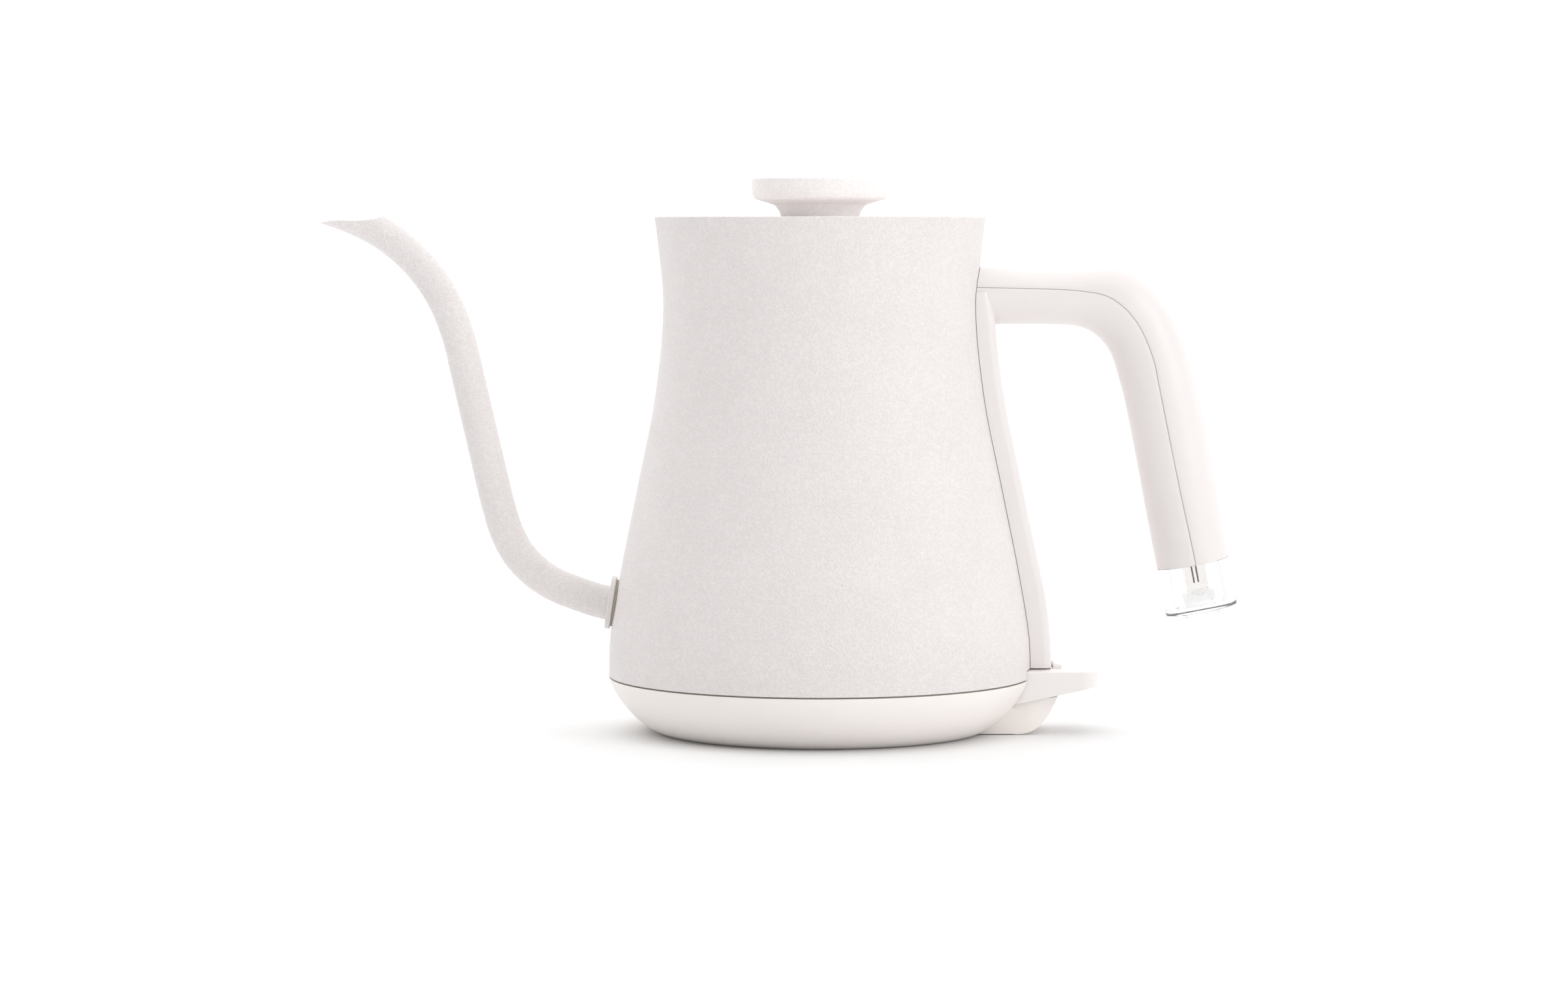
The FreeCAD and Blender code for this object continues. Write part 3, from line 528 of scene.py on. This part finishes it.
def shell_section(outer, inner, half, low, high, reach):
    """Closed section of one shell between two angles; reach is its hidden tongue."""
    edge_r = 0.22
    mean_r = 10.0
    roll = edge_r / mean_r
    low += PARTING_GAP / 2 / mean_r
    high -= PARTING_GAP / 2 / mean_r
    tongue = reach / mean_r
    count = 30
    span = high - low - 2 * roll
    section = [(low + roll + span * n / count, 0.0) for n in range(count + 1)]
    section += [(high - roll * 0.3, edge_r * 0.3), (high, edge_r)]
    section += [(high, TONGUE_DEPTH), (high + tongue, TONGUE_DEPTH), (high + tongue, HANDLE_WALL)]
    section += [(high - (high - low) * n / 12, HANDLE_WALL) for n in range(1, 12)]
    section += [(low - tongue, HANDLE_WALL), (low - tongue, TONGUE_DEPTH), (low, TONGUE_DEPTH)]
    section += [(low, edge_r), (low + roll * 0.3, edge_r * 0.3)]
    return [oval_point(outer, inner, half, t, inset) for t, inset in section]


def handle_shells():
    lines = handle_lines()
    partings = evened([parting_angle(o, i) for o, i, h in lines], 10)
    first = next(n for n, (o, i, h) in enumerate(lines) if min(o.x, i.x) > HANDLE_ROOT_X)
    outside = []
    inside = []
    for (o, i, h), angle in list(zip(lines, partings))[first:]:
        outside.append(shell_section(o, i, h, -angle, angle, -0.6 * TONGUE_REACH))
        inside.append(shell_section(o, i, h, angle, 2 * math.pi - angle, 0.4 * TONGUE_REACH))
    return skin("handle_outer", outside), skin("handle_inner", inside)


def spine_strip():
    """Channel-shaped strip down the vessel's back, running up into the handle."""
    outline = smooth_curve([(z, x) for x, z in SPINE_OUTLINE], 10)
    loops = []
    for z, x in outline:
        outer = spine_side(z, x, SPINE_HALF, SPINE_EDGE_R)
        inner = spine_side(z, x - SPINE_WALL, SPINE_HALF - SPINE_WALL, SPINE_EDGE_R - SPINE_WALL)
        path = outer + mirrored(reversed(outer)) + mirrored(inner) + list(reversed(inner))
        loops.append([(px, py, z) for px, py in path])
    return skin("spine", loops)


def spine_side(height, back_x, half, edge_r):
    """The channel's +Y face at a height: from the wall, round the edge to the back."""
    arc = [math.radians(90 * n / 8) for n in range(9)]
    wall_x = math.sqrt((shell_radius(height) + FIT_GAP) ** 2 - half * half)
    corner = [(back_x - edge_r + edge_r * math.sin(a), half - edge_r + edge_r * math.cos(a))
              for a in arc]
    return [(wall_x, half)] + corner


def mirrored(side):
    return [(x, -y) for x, y in side]


def cut_by_vessel(piece):
    """Trims what reaches inside the vessel wall."""
    low = SEAM_TOP_Z - 5
    side = [(r + FIT_GAP, z) for r, z in reversed(SHELL_CURVE)]
    outline = [(0.0, low), (BOWL_R + FIT_GAP, low)] + side + [(0.0, RIM_MIDDLE_Z)]
    cut_away(piece, lathe("vessel_core", outline, 180))
    smooth_again(piece)


def smooth_again(piece, angle=40):
    piece.data.polygons.foreach_set("use_smooth", [True] * len(piece.data.polygons))
    piece.data.set_sharp_from_angle(angle=math.radians(angle))


# ---- stage ------------------------------------------------------------------

def studio_sky():
    """Even at the horizon and brightest overhead; between them bright behind, dim in front."""
    world = bpy.data.worlds.new("studio")
    world.use_nodes = True
    tree = world.node_tree
    direction = tree.nodes.new("ShaderNodeTexCoord").outputs["Generated"]
    parts = tree.nodes.new("ShaderNodeSeparateXYZ")
    tree.links.new(direction, parts.inputs["Vector"])
    behind = ranged(tree, parts.outputs["Y"], -0.2, 0.7, FRONT_GLOW, BACK_GLOW)
    above = ranged(tree, parts.outputs["Z"], 0.62, 0.80, 0.0, 1.0)
    low = ranged(tree, parts.outputs["Z"], 0.10, 0.24, 1.0, 0.0)

    def towards(start, goal, share):
        change = combined(tree, "MULTIPLY", combined(tree, "SUBTRACT", goal, start), share)
        return combined(tree, "ADD", start, change)

    top = tree.nodes.new("ShaderNodeValue")
    top.outputs[0].default_value = TOP_GLOW
    white = tree.nodes.new("ShaderNodeValue")
    white.outputs[0].default_value = HORIZON_GLOW
    glow = towards(behind, top.outputs[0], above)
    glow = towards(glow, white.outputs[0], low)
    background = tree.nodes["Background"]
    background.inputs["Color"].default_value = (1, 1, 1, 1)
    tree.links.new(glow, background.inputs["Strength"])
    bpy.context.scene.world = world


def pale_floor():
    bpy.ops.mesh.primitive_plane_add(size=FLOOR_SIZE, location=(0, 0, 0))
    floor = bpy.context.object
    floor.name = "floor"
    material, tree, shader = new_material("pale_floor")
    space = texture_space(tree)
    faint = noise(tree, space, 40.0, 2.0)
    shade = ranged(tree, faint, 0.3, 0.7, 0.0, 1.0)
    tree.links.new(tinted(tree, shade, FLOOR_DARK, FLOOR_LIGHT), shader.inputs["Base Color"])
    shader.inputs["Roughness"].default_value = 0.9
    shader.inputs["Specular IOR Level"].default_value = 0.1
    floor.data.materials.append(material)


def key_light():
    data = bpy.data.lights.new("key", "AREA")
    data.shape = "SQUARE"
    data.size = KEY_SIZE
    data.energy = KEY_POWER
    lamp = bpy.data.objects.new("key", data)
    lamp.location = KEY_PLACE
    aim = Vector(KEY_AIM) - lamp.location
    lamp.rotation_euler = aim.to_track_quat("-Z", "Y").to_euler()
    bpy.context.scene.collection.objects.link(lamp)


def camera():
    data = bpy.data.cameras.new("camera")
    data.sensor_width = 36.0
    data.lens = CAMERA_LENS
    data.clip_start = 0.05
    data.clip_end = 50.0
    view = bpy.data.objects.new("camera", data)
    view.location = CAMERA_PLACE
    view.rotation_euler = (math.radians(90 - CAMERA_TILT), 0, 0)
    bpy.context.scene.collection.objects.link(view)
    bpy.context.scene.camera = view


# ---- assembly ---------------------------------------------------------------

camera()
pale_floor()
studio_sky()
key_light()
bpy.context.scene.view_settings.view_transform = "Standard"
dress_cad_nodes()

place(vessel_wall(), "kettle", "body_enamel", coating, ["vessel_shell"])
handle_outer, handle_inner = handle_shells()
cut_by_vessel(handle_outer)
cut_by_vessel(handle_inner)
place(handle_outer, "kettle", "handle_plastic", handle_plastic, ["handle_outer_shell"])
place(handle_inner, "kettle", "handle_plastic", handle_plastic, ["handle_inner_shell"])
place(spine_strip(), "kettle", "handle_plastic", handle_plastic, ["handle_inner_shell"])
